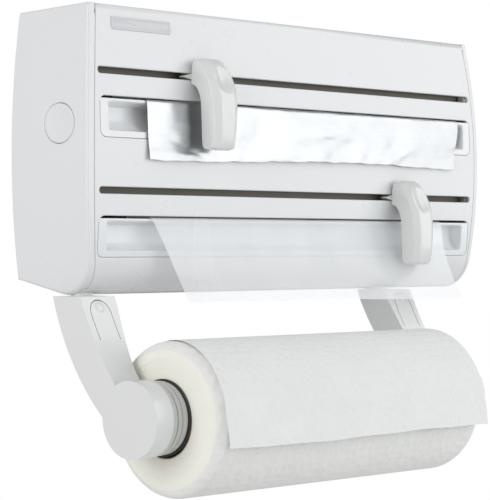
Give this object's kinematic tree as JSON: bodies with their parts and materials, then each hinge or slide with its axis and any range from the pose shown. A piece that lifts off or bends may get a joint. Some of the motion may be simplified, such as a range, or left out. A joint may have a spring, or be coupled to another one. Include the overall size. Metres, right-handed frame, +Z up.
{
  "type": "wall-mounted roll dispenser",
  "caption": "White wall dispenser for foil, cling film and kitchen towel rolls, with a hinged front cover, sliding cutters and curved towel arms.",
  "frame": {"origin": "midway between the two wall holes, on the wall face", "axes": "+X to the right along the body, +Y into the wall, +Z up"},
  "size_m": [0.379, 0.1462, 0.2837],
  "materials": {
    "shell": "white moulded plastic, satin gloss",
    "inner": "light grey inner mouldings",
    "rail": "dark grey brown channel behind the slots",
    "plate": "blank pale grey plate",
    "steel": "plain steel",
    "cutter": "white moulded plastic",
    "foil": "bright rolled foil",
    "film": "clear stretch film",
    "card": "spiral wound card",
    "arm": "white moulded plastic, fine texture",
    "plug": "white moulded plastic with turned rings",
    "rubber": "black soft grip ring",
    "paper": "embossed tissue"
  },
  "bodies": {
    "housing": {"back_shell": "shell", "left_end_cap": "shell", "right_end_cap": "shell", "bottom_rail": "shell", "left_roll_bracket": "inner", "right_roll_bracket": "inner", "housing_screws": "steel", "hinge_pins": "steel", "left_arm": "arm", "left_axle": "steel", "left_axle_clip": "steel", "towel_tail": "paper"},
    "cover": {"front_cover": "shell", "upper_tray": "shell", "lower_tray": "shell", "name_plate": "plate", "upper_cutter_rail": "rail", "lower_cutter_rail": "rail", "foil_tail": "foil", "film_tail": "film"},
    "upper_cutter": {"upper_cutter_knob": "cutter", "upper_cutter_blade": "steel", "upper_cutter_slider": "inner"},
    "lower_cutter": {"lower_cutter_knob": "cutter", "lower_cutter_blade": "steel", "lower_cutter_slider": "inner"},
    "left_button_set": {"left_button": "shell", "left_latch_hook": "inner", "left_button_spring": "steel"},
    "right_button_set": {"right_button": "shell", "right_latch_hook": "inner", "right_button_spring": "steel"},
    "foil_roll": {"foil_core": "card", "foil_winding": "foil", "foil_left_plug": "inner", "foil_right_plug": "inner"},
    "film_roll": {"film_core": "card", "film_winding": "film", "film_left_plug": "inner", "film_right_plug": "inner"},
    "towel_roll": {"towel_core": "card", "towel_winding": "paper"},
    "left_plug": {"left_roll_plug": "plug", "left_plug_ring": "rubber"},
    "right_arm_set": {"right_arm": "arm", "right_axle": "steel", "right_axle_clip": "steel"},
    "right_plug": {"right_roll_plug": "plug", "right_plug_ring": "rubber"},
    "left_latch": {"left_arm_latch": "arm"},
    "right_latch": {"right_arm_latch": "arm"}
  },
  "joints": [
    {"name": "cover_hinge", "type": "hinge", "parent": "housing", "child": "cover", "pos_m": [0, -0.05174, 0.01318], "axis": [-1, 0, 0], "range_deg": [0, 100]},
    {"name": "upper_cutter_slide", "type": "slide", "parent": "cover", "child": "upper_cutter", "axis": [1, 0, 0], "range_m": [-0.07, 0.248]},
    {"name": "lower_cutter_slide", "type": "slide", "parent": "cover", "child": "lower_cutter", "axis": [1, 0, 0], "range_m": [-0.258, 0.06]},
    {"name": "left_button_press", "type": "slide", "parent": "housing", "child": "left_button_set", "axis": [1, 0, 0], "range_m": [0, 0.0025], "stiffness_N_per_m": 400, "deforming": ["left_button_spring"]},
    {"name": "right_button_press", "type": "slide", "parent": "housing", "child": "right_button_set", "axis": [-1, 0, 0], "range_m": [0, 0.0025], "stiffness_N_per_m": 400, "deforming": ["right_button_spring"]},
    {"name": "foil_roll_spin", "type": "hinge", "parent": "housing", "child": "foil_roll", "pos_m": [0, -0.0252, -0.032], "axis": [1, 0, 0], "continuous": true},
    {"name": "film_roll_spin", "type": "hinge", "parent": "housing", "child": "film_roll", "pos_m": [0, -0.0252, -0.1012], "axis": [1, 0, 0], "continuous": true},
    {"name": "towel_roll_spin", "type": "hinge", "parent": "housing", "child": "towel_roll", "pos_m": [0, -0.0975, -0.22235], "axis": [1, 0, 0], "continuous": true},
    {"name": "left_plug_spin", "type": "hinge", "parent": "housing", "child": "left_plug", "pos_m": [0, -0.0975, -0.2207], "axis": [1, 0, 0], "continuous": true},
    {"name": "right_arm_slide", "type": "slide", "parent": "housing", "child": "right_arm_set", "axis": [1, 0, 0], "range_m": [-0.007, 0.064]},
    {"name": "right_plug_spin", "type": "hinge", "parent": "right_arm_set", "child": "right_plug", "pos_m": [0, -0.0975, -0.2207], "axis": [1, 0, 0], "continuous": true},
    {"name": "left_latch_press", "type": "hinge", "parent": "housing", "child": "left_latch", "pos_m": [-0.1745, -0.0684, -0.1776], "axis": [-1, 0, 0], "range_deg": [0, 5], "stiffness_Nm_per_rad": 0.4},
    {"name": "right_latch_press", "type": "hinge", "parent": "right_arm_set", "child": "right_latch", "pos_m": [0.1005, -0.0684, -0.1776], "axis": [-1, 0, 0], "range_deg": [0, 5], "stiffness_Nm_per_rad": 0.4}
  ],
  "couplings": [
    {"joint": "left_plug_spin", "follows": "towel_roll_spin", "ratio": 1},
    {"joint": "right_plug_spin", "follows": "towel_roll_spin", "ratio": 1}
  ]
}
